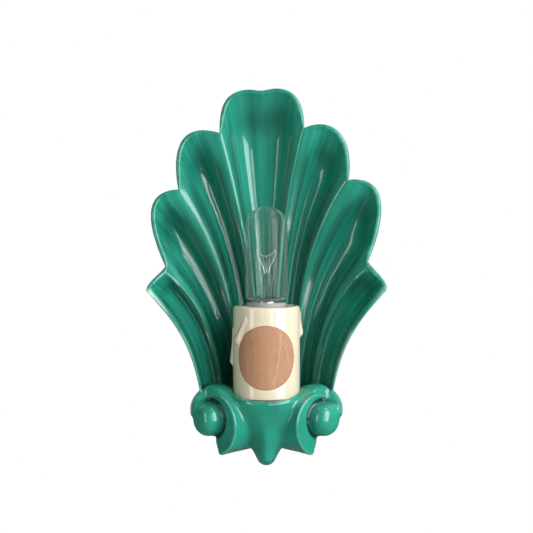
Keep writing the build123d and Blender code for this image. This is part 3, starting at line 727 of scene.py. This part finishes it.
def flank_point(column, row):
    """A ball behind the knob: the roll's flank. Its front is pressed in where the face shows."""
    columns, rows = FLANK_LINES
    turn, height = 2 * pi * column / columns, pi * (row / rows - 0.5)
    level = FLANK.y + FLANK_RADIUS * sin(height)
    flat = Vector((FLANK.x + FLANK_RADIUS * cos(turn) * cos(height), level))
    lift = FLANK.z + FLANK_RADIUS * sin(turn) * cos(height)
    from_knob = flat - KNOB
    turned = since_opening(atan2(from_knob.y, from_knob.x))
    flat = KNOB + from_knob * (0.84 + 0.16 * ease(turned, 0, 55) * (1 - ease(turned, 262, 280)))
    covered = plateau(turned, (0, 30), (62, 90))
    limit = -2.5 + PRESSED_IN * covered - PRESSED_IN * plateau(turned, *OPENING)
    return on_disc(flat, min(lift, limit))


def in_groove(spot):
    """How much a point in millimetres belongs to the groove round the right knob, 0 to 1."""
    outwards, upwards, depth = from_disc(spot)
    flat = Vector((outwards, upwards)) - KNOB
    around = plateau(since_opening(atan2(flat.y, flat.x)), GROOVE_START, (268, 276))
    return bell(flat.length - KNOB_RADIUS, GROOVE_AWAY, 1.5) * (1 - ease(depth, 3, 5)) * around


def on_the_right(place):
    """A place in metres as millimetres, moved to the right side if it is on the left."""
    return Vector((abs(place.x), place.y, place.z)) / MM


# %% Scrolls joined to the base
FACE_SOFTNESS = 0.45  # the discs' faces stay crisper than the clay round them

scrolls = []
for place, (columns, rows) in ((scroll_point, (SCROLL_COLUMNS, ROLL_ROWS + 1)), (flank_point, FLANK_LINES)):
    for side in (1, -1):
        scrolls.append(mapped_grid("scroll", columns, rows, place, side))
joined(base, (*scrolls, block, collar))
finish_modifier(base, "REMESH", mode="VOXEL", voxel_size=0.65 * MM)
soft = base.vertex_groups.new(name="soft")
for point in base.data.vertices:
    spot = on_the_right(point.co)
    outwards, upwards, depth = from_disc(spot)
    outer = ease(outwards, 4, 9) * ease(upwards, -2, 3)
    beyond = ease(Vector((outwards, upwards)).length, 18.8, 20.5)
    weight = FACE_SOFTNESS + (1 - FACE_SOFTNESS) * max(outer, ease(depth, 3, 9), beyond)
    weight = max(weight, ease(spot.z - LEDGE, -5, -2) * (1 - ease(spot.x, 20, 24)))
    weight *= 1 - 0.9 * in_groove(spot)
    soft.add([point.index], weight, "REPLACE")
only(base)
bpy.ops.object.duplicate()
softened = bpy.context.object
finish_modifier(softened, "SMOOTH", factor=0.5, iterations=140, vertex_group="soft")
for point, other in zip(base.data.vertices, softened.data.vertices):
    move = other.co - point.co
    if move.dot(point.normal) > 0:
        point.co += move  # fills the hollow joints and leaves the round parts as they are
bpy.data.objects.remove(softened)
finish_modifier(base, "SMOOTH", factor=0.5, iterations=16, vertex_group="soft")
print("base faces", len(base.data.polygons))
weld(shell, base)
join = shell.vertex_groups.new(name="join")
for point in shell.data.vertices:
    rise_above = point.co.z / MM - LEDGE
    join.add([point.index], 1 - ease(abs(rise_above - 2), 3, 9), "REPLACE")
finish_modifier(shell, "SMOOTH", factor=0.5, iterations=18, vertex_group="join")
print("shell with base", len(shell.data.polygons))

# %% [markdown]
# ## Hollows at the back
# The boss that the lamp hangs by is added after the clay forms are joined, and the holes
# and the wiring chamber are cut in after that, so that their edges stay crisp.

# %% Boss, chamber and holes
def cutter(low, high):
    """A plain box between two corners in millimetres, only ever used to cut."""
    bpy.ops.object.select_all(action="DESELECT")
    bpy.ops.mesh.primitive_cube_add(size=1)
    piece = bpy.context.object
    for point in piece.data.vertices:
        share = point.co + Vector((0.5, 0.5, 0.5))
        point.co = Vector(low[i] + (high[i] - low[i]) * share[i] for i in range(3)) * MM
    return piece


INTO_WALL = Matrix.Rotation(-pi / 2, 4, "X")
HOLE = Vector((0, 0, 0))
CEILING, FLOOR = -7, -25.5  # of the wiring chamber, from the ledge
WELL = 11  # radius of its round front end, under the candle
boss = spun("boss", [(0, -16), (10, -16), (10, -0.8), (9.2, 0), (0, 0)], centre=HOLE, turn=INTO_WALL)
weld(shell, boss)
hole = spun("hole", [(0, -9), (4.25, -9), (4.25, 1), (0, 1)], centre=HOLE, turn=INTO_WALL)
weld(shell, hole, "DIFFERENCE")
weld(shell, cutter((-22, -42, LEDGE + FLOOR), (22, 1, LEDGE + CEILING)), "DIFFERENCE")
weld(shell, cutter((-WELL, -54, LEDGE + FLOOR), (WELL, -40, LEDGE + CEILING)), "DIFFERENCE")
weld(shell, spun("well", [(0, FLOOR), (WELL, FLOOR), (WELL, CEILING), (0, CEILING)]), "DIFFERENCE")
weld(shell, spun("seat", [(0, 0), (20.4, 0), (20.4, 12), (0, 12)]), "DIFFERENCE")
weld(shell, spun("tube_hole", [(0, -9), (5.25, -9), (5.25, 2), (0, 2)]), "DIFFERENCE")
only(shell)
bpy.ops.object.shade_smooth_by_angle(angle=radians(50))
shell.name = "glazed_shell"
print("whole ceramic body", len(shell.data.polygons))

# %% [markdown]
# ## Green glaze
# A copper-green glaze is glass over pale clay. It runs off the edges, which turn mint and
# cream, and gathers in the hollows, which turn nearly black. That darkening is also painted
# shade, in the hollows, beside the ribs, under the rims and in the knobs' grooves. So the
# colour follows the curvature of the skin, measured once for every point and kept as an
# attribute.


# %% Measure where the glaze thins
def measure_edges(piece, reach, rounds):
    """Stores how sharply the skin bulges at each point: 0.5 is flat, 1 an edge, 0 a hollow."""
    form = bmesh.new()
    form.from_mesh(piece.data)
    form.verts.ensure_lookup_table()
    bulge = []
    for point in form.verts:
        near = [edge.other_vert(point).co for edge in point.link_edges]
        middle = sum(near, Vector()) / max(1, len(near))
        span = sum((other - point.co).length for other in near) / max(1, len(near))
        bulge.append((point.co - middle).dot(point.normal) / max(1e-6, span) ** 2)
    links = [[edge.other_vert(point).index for edge in point.link_edges] for point in form.verts]
    for _ in range(rounds):
        bulge = [
            0.5 * own + 0.5 * sum(bulge[i] for i in near) / max(1, len(near))
            for own, near in zip(bulge, links)
        ]
    form.free()
    layer = piece.data.attributes.new("bulge", "FLOAT", "POINT")
    for item, value, point in zip(layer.data, bulge, piece.data.vertices):
        calm = 1 - 0.55 * ease(LEDGE + 12 - point.co.z / MM, 0, 8)  # thick glaze hides the base's edges
        item.value = max(0, min(1, 0.5 + 0.5 * value * reach * calm))
    print("bulge", round(min(bulge)), round(max(bulge)))


measure_edges(shell, reach=0.0045, rounds=8)
nearby = kdtree.KDTree(len(grid_spots))
for index, (spot, data) in enumerate(grid_spots):
    nearby.insert(spot, index)
nearby.balance()
shell.data.attributes.new("flute", "FLOAT_VECTOR", "POINT")
shell.data.attributes.new("pool_and_shade", "FLOAT", "POINT")
flute, pool_and_shade = shell.data.attributes["flute"], shell.data.attributes["pool_and_shade"]
for point in shell.data.vertices:
    near = nearby.find_n(point.co, 5)
    shares = [1 / (away / MM + 0.2) ** 2 for spot, index, away in near]
    values = [grid_spots[index][1] for spot, index, away in near]
    across, up, pooling_and_shade = [
        sum(share * value[axis] for share, value in zip(shares, values)) / sum(shares)
        for axis in range(3)
    ]
    on_shell = 1 - ease(near[0][2] / MM, 0.8, 3.0)
    flute.data[point.index].vector = (across, 0.10 * up, 0)
    # the groove round each knob is darkened as well: pooled glaze and painted shade
    pool_and_shade.data[point.index].value = max(pooling_and_shade * on_shell, 1.2 * in_groove(on_the_right(point.co)))
print("flute lines on", len(shell.data.vertices), "points")


# %% Green glaze
def green_glaze():
    finish = Finish("green_glaze")
    bulge = finish.attribute("bulge")
    pooling_and_shade = finish.attribute("pool_and_shade")
    along = finish.node("ShaderNodeAttribute", {"attribute_name": "flute"}, out=1)
    slow = finish.noise(finish.place(), 18, 3)
    cloud = finish.noise(finish.place((1, 1, 0.35)), 70, 4)
    streak = finish.noise(along, 16, 3)
    fine = finish.noise(finish.place(), 420, 3)
    deep = finish.mix(slow, (0.008, 0.15, 0.100), (0.020, 0.31, 0.215))
    colour = finish.mix(streak.above(0.38, 2.4) * 0.55, deep, (0.050, 0.50, 0.37))
    colour = finish.mix(cloud.above(0.52, 3.0) * 0.35, colour, (0.002, 0.07, 0.045))
    thin = (bulge * 4.0 - 2.5).clamp()
    hollow = (1.7 - bulge * 4.0).clamp()
    pale = finish.mix(fine, (0.28, 0.70, 0.50), (0.46, 0.72, 0.52))
    # darker in the hollows, the furrows, under the rims and in the grooves: pooled glaze and painted shade
    colour = finish.mix((hollow * 0.55 + pooling_and_shade * 0.75).clamp(), colour, (0.001, 0.03, 0.02))
    colour = finish.mix(thin * 0.62, colour, pale)
    pinhole = finish.noise(finish.place(), 1100, 1)
    colour = finish.mix(pinhole.above(0.74, 12.0) * 0.7, colour, (0.002, 0.02, 0.014))
    ripple = finish.bump(streak * 0.5 + slow * 0.5, 0.14, 0.0006)
    sheen = (cloud * 0.12 + 0.10).clamp()
    finish.set(Base_Color=colour, Roughness=sheen, IOR=1.5, Coat_Weight=0.4, Normal=ripple)
    return finish


wear(shell, green_glaze(), "fixture", "shell_body")

# %% [markdown]
# ## Candle sleeve
# The sleeve is a slip-cast tube with drips like melted wax. It starts as a spun wall. Each
# drip is a row of nine growing balls laid into it, and a remesh melts them together.

# %% Sleeve and drips
CANDLE = 20.0
BORE = 15.5
HEIGHT = 55.0
ROUNDED = 1.8  # how far the rounding of the top edges reaches
DRIP_BALLS = 9
DRIP_SUNK = 1.2  # how deep the balls' middles lie in the wall
# angle from the front, top above the ledge, length, and the slant in degrees
DRIPS = [(-38, 47, 12, -18), (-80, 41, 19, -8), (86, 50, 11, 3), (-150, 45, 20, 5), (140, 46, 24, -6)]

wall = [
    (BORE, 0.0), (CANDLE - 0.5, 0.0), (CANDLE, 0.5),
    (CANDLE, HEIGHT - ROUNDED), (CANDLE - 0.5, HEIGHT - 0.5), (CANDLE - ROUNDED, HEIGHT),
    (BORE + ROUNDED, HEIGHT), (BORE + 0.5, HEIGHT - 0.5), (BORE, HEIGHT - ROUNDED), (BORE, 0.0),
]
sleeve = spun("sleeve", wall, steps=ROUND_STEPS)
balls = []
for angle, top, length, slant in DRIPS:
    for step in range(DRIP_BALLS):
        share = step / (DRIP_BALLS - 1)
        turn = radians(angle + slant * share)
        away = Vector((sin(turn), -cos(turn), 0)) * (CANDLE - DRIP_SUNK)
        size = 1.9 + 1.3 * share**2
        bpy.ops.object.select_all(action="DESELECT")
        bpy.ops.mesh.primitive_uv_sphere_add(segments=24, ring_count=16, radius=size * MM)
        ball = bpy.context.object
        ball.data.transform(Matrix.Translation((AXIS + away + Vector((0, 0, top - length * share))) * MM))
        balls.append(ball)
joined(sleeve, balls)
finish_modifier(sleeve, "REMESH", mode="VOXEL", voxel_size=0.55 * MM)
finish_modifier(sleeve, "SMOOTH", factor=0.5, iterations=8)
for point in sleeve.data.vertices:
    around = atan2(point.co.x, AXIS.y * MM - point.co.y)
    dip = (0.3 + 0.3 * sin(2 * around + 1)) * ease((point.co.z / MM - LEDGE) / HEIGHT, 0.85, 1)
    point.co.z -= dip * MM
bpy.ops.object.shade_smooth()
sleeve.name = "glazed_sleeve"


def cream_glaze():
    finish = Finish("cream_glaze")
    cloud = finish.noise(finish.place(), 60, 4)
    speck = finish.noise(finish.place(), 900, 2)
    low = finish.node("ShaderNodeSeparateXYZ", {}, finish.place(), out=2)
    foot = ((-0.118 - low) * 90).clamp()  # the lowest centimetre of the sleeve, in metres
    cream = finish.mix(cloud, (0.70, 0.62, 0.46), (0.78, 0.71, 0.56))
    cream = finish.mix((speck - 0.68).clamp() * 1.2, cream, (0.45, 0.33, 0.18))
    cream = finish.mix(foot * 0.35, cream, (0.55, 0.51, 0.34))
    gap_shadow = ((-0.1263 - low) * 1600).clamp()  # painted shadow of the gap: the dark line where it stands on the ledge
    cream = finish.mix(gap_shadow * 0.9, cream, (0.03, 0.035, 0.02))
    ripple = finish.bump(cloud, 0.15, 0.0005)
    finish.set(Base_Color=cream, Roughness=0.16, IOR=1.5, Coat_Weight=0.4, Coat_Roughness=0.05, Normal=ripple)
    return finish


wear(sleeve, cream_glaze(), "candle", "candle_sleeve")

# %% [markdown]
# ## Paper sticker
# A round of brown paper, glued on and creased. It is a disc of points wrapped round the
# sleeve; small folds lift it, most of all at its upper right.

# %% Sticker
LABEL = 18.5
LABEL_MIDDLE = 25.5  # above the ledge
LABEL_ROWS = 24  # rows over its front; one more row is its cut edge
PAPER = 0.09
GLUE = 0.03


def label_point(column, row):
    """Goes out over the front of the paper and then down its cut edge to the sleeve."""
    angle = 2 * pi * column / ROUND_STEPS
    share = min(row, LABEL_ROWS) / LABEL_ROWS
    x, h = LABEL * share * cos(angle), LABEL * share * sin(angle)
    fold = bell(x - 6.5, 0.12 * h, 0.7) * bell(h, 4, 12)
    corner = bell(x + h * 0.8, 19, 1.0) * 0.7
    wrinkle = 0.16 * noise.noise(Vector((x * 0.45, h * 0.12, 3)))
    creases = 0.36 * fold + 0.34 * corner + max(-0.04, wrinkle)
    lift = PAPER + creases if row <= LABEL_ROWS else 0
    radius = CANDLE + GLUE + lift
    around = x / CANDLE
    return AXIS + Vector((radius * sin(around), -radius * cos(around), LABEL_MIDDLE + h))


label = mapped_grid("sticker", ROUND_STEPS, LABEL_ROWS + 1, label_point)


def kraft_paper():
    finish = Finish("kraft_paper")
    fibre = finish.noise(finish.place((1, 1, 3)), 700, 5, 0.7)
    cloud = finish.noise(finish.place(), 130, 3)
    paper = finish.mix(cloud, (0.36, 0.175, 0.090), (0.47, 0.25, 0.145))
    paper = finish.mix((fibre - 0.45).clamp() * 1.4, paper, (0.58, 0.36, 0.23))
    across = finish.node("ShaderNodeSeparateXYZ", {}, finish.place(), out=0)
    up = finish.node("ShaderNodeSeparateXYZ", {}, finish.place(), out=2)
    for offset, slope in ((0.0068, 0.12), (0.0175, -0.8), (0.0125, -0.35)):
        bend = (across - offset - (up + 0.1025) * slope + (cloud - 0.5) * 0.006).maths("ABSOLUTE")
        paper = finish.mix((1 - bend * 2400).clamp() * 0.35, paper, (0.68, 0.47, 0.33))
    ripple = finish.bump(fibre, 0.3, 0.0002)
    finish.set(Base_Color=paper, Roughness=0.7, Normal=ripple)
    return finish


wear(label, kraft_paper(), "candle", "paper_label")

# %% [markdown]
# ## Lamp
# The glass is a thin blown tube with real inner and outer faces, so that it bends light
# only at its edges. Inside, a drawn stem carries two wires and a coiled filament that
# sags between them.

# %% Glass
RING_TOP = 56.5  # of the holder, above the ledge
SHOULDER = RING_TOP + 0.6
CROWN = SHOULDER + 57
GLASS = 12.5
GLASS_WALL = 0.8
NECK = 5.9
NECK_LENGTH = 6.5
SHOULDER_HEIGHT = 3.2


def glass_line(inset):
    """The glass profile from the neck to the crown, for the outer or the inner face."""
    wide, narrow = GLASS - inset, NECK - inset
    line = [(narrow, SHOULDER - NECK_LENGTH), (narrow, SHOULDER + inset)]
    for step in range(1, 9):
        turn = pi / 2 * step / 8
        height = SHOULDER + inset + (SHOULDER_HEIGHT - inset) * (1 - cos(turn))
        line.append((narrow + (wide - narrow) * sin(turn), height))
    for step in range(0, 17):
        turn = pi / 2 * step / 16
        line.append((wide * cos(turn), CROWN - GLASS + wide * sin(turn)))
    line[-1] = (0, line[-1][1])
    return line


both_faces = glass_line(0) + glass_line(GLASS_WALL)[::-1] + glass_line(0)[:1]
glass = spun("glass_tube", both_faces, steps=ROUND_STEPS)


def clear_glass():
    finish = Finish("clear_glass")
    finish.set(Base_Color=(0.97, 0.985, 0.98, 1), Roughness=0.0, IOR=1.22, Transmission_Weight=1.0)
    haze = finish.noise(finish.place((1, 1, 0.5)), 60, 4)
    dust = finish.node("ShaderNodeBsdfTranslucent", {}, Color=(0.85, 0.9, 0.9, 1))
    finish.blend(haze * 0.08 + 0.03, dust)
    return finish


glass_finish = clear_glass()
wear(glass, glass_finish, "bulb", "bulb_glass")
paint(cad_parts["bulb_stem"], glass_finish)


# %% Filament and lead wires
def round_wire(name, points, radius):
    """A bent wire: a smooth curve with a round section, made a mesh."""
    curve = bpy.data.curves.new(name, "CURVE")
    curve.dimensions = "3D"
    curve.bevel_depth = radius * MM
    curve.bevel_resolution = 2
    curve.use_fill_caps = True
    line = curve.splines.new("NURBS")
    line.points.add(len(points) - 1)
    for spot, point in zip(line.points, points):
        spot.co = (*(AXIS + Vector(point)) * MM, 1)
    line.order_u = 3
    line.use_endpoint_u = True
    wire = bpy.data.objects.new(name, curve)
    scene.collection.objects.link(wire)
    only(wire)
    bpy.ops.object.convert(target="MESH")
    bpy.ops.object.shade_smooth()
    return wire


FILAMENT_HEIGHT = SHOULDER + 31
END = 5.6  # from the axis to each end of the filament
TURNS = 62
TURN_STEPS = 8  # points on each turn of the coil
COIL = 0.32  # its radius
DROOP = 3.6
COIL_WIRE, LEAD_WIRE, SUPPORT_WIRE = 0.07, 0.28, 0.1  # radii

coil = []
for step in range(TURNS * TURN_STEPS + 1):
    share = step / (TURNS * TURN_STEPS)
    x = -END + 2 * END * share
    sag = DROOP * (1 - (2 * share - 1) ** 2) * (1 - 0.3 * (2 * share - 1))
    angle = 2 * pi * step / TURN_STEPS
    coil.append((x, COIL * cos(angle), FILAMENT_HEIGHT - 0.3 - sag + COIL * sin(angle)))
filament = round_wire("filament_coil", coil, COIL_WIRE)
leads = []
for side in (-1, 1):
    bends = [
        (side * 1.2, 0, SHOULDER + 16),
        (side * 1.5, 0, SHOULDER + 20),
        (side * 3.8, 0.4, SHOULDER + 24),
        (side * END, 0, FILAMENT_HEIGHT - 3),
        (side * END, 0, FILAMENT_HEIGHT),
    ]
    leads.append(round_wire("lead_wire", bends, LEAD_WIRE))
supports = []
for x, drop in ((-2.4, 3.6), (0.2, 4.3), (2.6, 3.2)):
    bends = [(0, 0, SHOULDER + 16.5), (x * 0.4, 0, SHOULDER + 22), (x, 0, FILAMENT_HEIGHT - drop)]
    supports.append(round_wire("support_wire", bends, SUPPORT_WIRE))
for wires, name in ((leads, "lead_wires"), (supports, "filament_hooks")):
    joined(wires[0], wires[1:])
    wires[0].name = name


def metal(name, colour, roughness, grain=300, spread=0.08):
    """Bare metal with fine drawn marks: they vary its shade and roughness a little."""
    finish = Finish(name)
    marks = finish.noise(finish.place((1, 1, 0.2)), grain, 3)
    shade = finish.mix(marks, [c * (1 - spread) for c in colour], [min(1, c * (1 + spread)) for c in colour])
    sheen = (marks * 0.15 + roughness).clamp()
    drawn = finish.bump(marks, 0.08, 0.0001)
    finish.set(Base_Color=shade, Metallic=1.0, Roughness=sheen, Normal=drawn)
    return finish


wear(filament, metal("filament", (0.62, 0.60, 0.57), 0.35), "bulb", "bulb_filament")
lamp_wire = metal("lamp_wire", (0.72, 0.70, 0.66), 0.2)
wear(leads[0], lamp_wire, "bulb", "bulb_lead_wires")
wear(supports[0], lamp_wire, "bulb", "filament_supports")

# %% [markdown]
# ## Pieces that keep their shape
# The holder, its brass parts, the fixing and the terminal block are simple turned and
# moulded parts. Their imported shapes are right, so they only get finishes.


# %% Moulded parts
def moulded(name, colour, roughness):
    """Moulded plastic or porcelain: a faint cloud in the colour and a fine skin."""
    finish = Finish(name)
    cloud = finish.noise(finish.place(), 120, 3)
    skin_grain = finish.noise(finish.place(), 1500, 2)
    shade = finish.mix(cloud, [0.92 * c for c in colour], [min(1, 1.05 * c) for c in colour])
    sheen = (cloud * 0.1 + roughness).clamp()
    finish.set(Base_Color=shade, Roughness=sheen, Normal=finish.bump(skin_grain, 0.1, 0.0001))
    return finish


brass = metal("brass", (0.80, 0.58, 0.24), 0.25)
zinc = metal("zinc_steel", (0.66, 0.67, 0.68), 0.3, 500, 0.15)
grey = moulded("holder_plastic", (0.40, 0.41, 0.39), 0.45)
porcelain = moulded("porcelain", (0.85, 0.84, 0.80), 0.35)
KEPT = {
    "bulb_cap": metal("cap_metal", (0.80, 0.80, 0.78), 0.2),
    "bulb_insulator": moulded("black_insulator", (0.02, 0.02, 0.022), 0.2),
    "bulb_tip_contact": metal("solder", (0.55, 0.55, 0.54), 0.45),
    "holder_base": grey,
    "holder_skirt": grey,
    "holder_insert": porcelain,
    "holder_thread_shell": brass,
    "centre_contact": brass,
    "terminal_posts": brass,
    "block_tubes": brass,
    "terminal_screws": zinc,
    "threaded_nipple": zinc,
    "seat_washer": zinc,
    "lower_washer": zinc,
    "lock_nut": zinc,
    "block_screws": zinc,
    "terminal_block": moulded("block_plastic", (0.82, 0.81, 0.76), 0.4),
    "live_wire": moulded("brown_insulation", (0.16, 0.06, 0.03), 0.35),
    "neutral_wire": moulded("blue_insulation", (0.03, 0.13, 0.42), 0.35),
}
for node, finish in KEPT.items():
    paint(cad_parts[node], finish)
print("kept nodes", len(KEPT))
